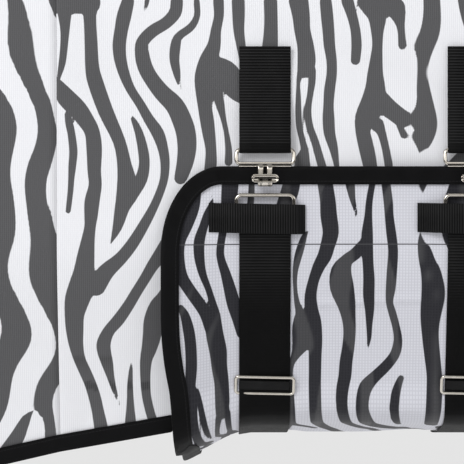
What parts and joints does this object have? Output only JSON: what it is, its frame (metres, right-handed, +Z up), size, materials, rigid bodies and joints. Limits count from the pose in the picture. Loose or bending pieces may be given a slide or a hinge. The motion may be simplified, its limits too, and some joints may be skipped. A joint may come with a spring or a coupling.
{
  "type": "horse fly sheet",
  "caption": "Mesh horse sheet with shaped body and chest panels, a belly flap and a tail flap, bound edges, and webbing closures with T-hooks, oblong rings and strap sliders.",
  "frame": {"origin": "middle of the underside of the wither pad, where the sheet rests on the horse's withers", "axes": "X runs from head (-X) to tail (+X), -Y is the horse's near (left) side, where the belly flap closes, +Z up"},
  "size_m": [1.8341, 0.6432, 0.8108],
  "materials": {
    "zebra_mesh": "woven polyester mesh, printed with dark grey zebra stripes on white",
    "flap_mesh": "woven polyester mesh, printed with black zebra stripes on grey white",
    "black_binding": "black woven edge tape",
    "black_webbing": "black ribbed polypropylene webbing",
    "fleece": "black synthetic fleece",
    "nickel": "polished nickel plate on cast and bent metal"
  },
  "bodies": {
    "sheet": {"near_body_panel": "zebra_mesh", "far_body_panel": "zebra_mesh", "near_chest_panel": "zebra_mesh", "far_chest_panel": "zebra_mesh", "back_tape": "black_binding", "tail_tape": "black_binding", "wither_pad": "fleece", "flap_seam_tape": "black_binding", "near_hem_binding": "black_binding", "near_rear_binding": "black_binding", "near_chest_edge_binding": "black_binding", "near_neck_binding": "black_binding", "far_hem_binding": "black_binding", "far_rear_binding": "black_binding", "far_chest_edge_binding": "black_binding", "far_neck_binding": "black_binding", "belly_1_hook_strap": "black_webbing", "belly_2_hook_strap": "black_webbing", "belly_3_hook_strap": "black_webbing", "chest_1_hook_strap": "black_webbing", "chest_1_ring_strap": "black_webbing", "chest_1_keeper": "black_webbing", "chest_2_hook_strap": "black_webbing", "chest_2_ring_strap": "black_webbing", "chest_2_keeper": "black_webbing"},
    "belly_flap": {"flap_panel": "flap_mesh", "flap_binding": "black_binding", "belly_1_ring_strap": "black_webbing", "belly_1_keeper": "black_webbing", "belly_2_ring_strap": "black_webbing", "belly_2_keeper": "black_webbing", "belly_3_ring_strap": "black_webbing", "belly_3_keeper": "black_webbing"},
    "belly_hook_1": {"belly_1_t_hook": "nickel"},
    "belly_ring_1": {"belly_1_ring": "nickel"},
    "belly_slider_1": {"belly_1_slider": "nickel"},
    "belly_hook_2": {"belly_2_t_hook": "nickel"},
    "belly_ring_2": {"belly_2_ring": "nickel"},
    "belly_slider_2": {"belly_2_slider": "nickel"},
    "belly_hook_3": {"belly_3_t_hook": "nickel"},
    "belly_ring_3": {"belly_3_ring": "nickel"},
    "belly_slider_3": {"belly_3_slider": "nickel"},
    "chest_hook_1": {"chest_1_t_hook": "nickel"},
    "chest_ring_1": {"chest_1_ring": "nickel"},
    "chest_slider_1": {"chest_1_slider": "nickel"},
    "chest_hook_2": {"chest_2_t_hook": "nickel"},
    "chest_ring_2": {"chest_2_ring": "nickel"},
    "chest_slider_2": {"chest_2_slider": "nickel"},
    "tail_flap": {"tail_flap_panel": "zebra_mesh", "tail_flap_binding": "black_binding"}
  },
  "joints": [
    {"name": "belly_flap_swing", "type": "hinge", "parent": "sheet", "child": "belly_flap", "pos_m": [0.465, 0.3132, -0.54], "axis": [1, 0, 0], "range_deg": [0, 75]},
    {"name": "belly_hook_1_swing", "type": "hinge", "parent": "sheet", "child": "belly_hook_1", "pos_m": [0.265, -0.31415, -0.4613], "axis": [1, 0, 0], "range_deg": [-90, 0]},
    {"name": "belly_ring_1_swing", "type": "hinge", "parent": "belly_flap", "child": "belly_ring_1", "pos_m": [0.265, -0.31835, -0.5192], "axis": [1, 0, 0], "range_deg": [0, 18]},
    {"name": "belly_slider_1_slide", "type": "slide", "parent": "belly_flap", "child": "belly_slider_1", "axis": [0, -0.3421, 0.9397], "range_m": [0, 0.08]},
    {"name": "belly_hook_2_swing", "type": "hinge", "parent": "sheet", "child": "belly_hook_2", "pos_m": [0.465, -0.31415, -0.4613], "axis": [1, 0, 0], "range_deg": [-90, 0]},
    {"name": "belly_ring_2_swing", "type": "hinge", "parent": "belly_flap", "child": "belly_ring_2", "pos_m": [0.465, -0.31835, -0.5192], "axis": [1, 0, 0], "range_deg": [0, 18]},
    {"name": "belly_slider_2_slide", "type": "slide", "parent": "belly_flap", "child": "belly_slider_2", "axis": [0, -0.3421, 0.9397], "range_m": [0, 0.08]},
    {"name": "belly_hook_3_swing", "type": "hinge", "parent": "sheet", "child": "belly_hook_3", "pos_m": [0.665, -0.31415, -0.4613], "axis": [1, 0, 0], "range_deg": [-90, 0]},
    {"name": "belly_ring_3_swing", "type": "hinge", "parent": "belly_flap", "child": "belly_ring_3", "pos_m": [0.665, -0.31835, -0.5192], "axis": [1, 0, 0], "range_deg": [0, 18]},
    {"name": "belly_slider_3_slide", "type": "slide", "parent": "belly_flap", "child": "belly_slider_3", "axis": [0, -0.3421, 0.9397], "range_m": [0, 0.08]},
    {"name": "chest_hook_1_swing", "type": "hinge", "parent": "sheet", "child": "chest_hook_1", "pos_m": [-0.45773, -0.03042, -0.53], "axis": [0, 0, 1], "range_deg": [0, 90]},
    {"name": "chest_ring_1_swing", "type": "hinge", "parent": "sheet", "child": "chest_ring_1", "pos_m": [-0.45794, 0.02829, -0.53], "axis": [0, 0, 1], "range_deg": [-18, 0]},
    {"name": "chest_slider_1_slide", "type": "slide", "parent": "sheet", "child": "chest_slider_1", "axis": [-0.3465, -0.9381, 0], "range_m": [0, 0.02]},
    {"name": "chest_hook_2_swing", "type": "hinge", "parent": "sheet", "child": "chest_hook_2", "pos_m": [-0.45773, -0.03042, -0.67], "axis": [0, 0, 1], "range_deg": [0, 90]},
    {"name": "chest_ring_2_swing", "type": "hinge", "parent": "sheet", "child": "chest_ring_2", "pos_m": [-0.45794, 0.02829, -0.67], "axis": [0, 0, 1], "range_deg": [-18, 0]},
    {"name": "chest_slider_2_slide", "type": "slide", "parent": "sheet", "child": "chest_slider_2", "axis": [-0.3465, -0.9381, 0], "range_m": [0, 0.02]},
    {"name": "tail_flap_swing", "type": "hinge", "parent": "sheet", "child": "tail_flap", "pos_m": [1.328, 0, -0.05795], "axis": [0, 1, 0], "range_deg": [-70, 0]}
  ]
}
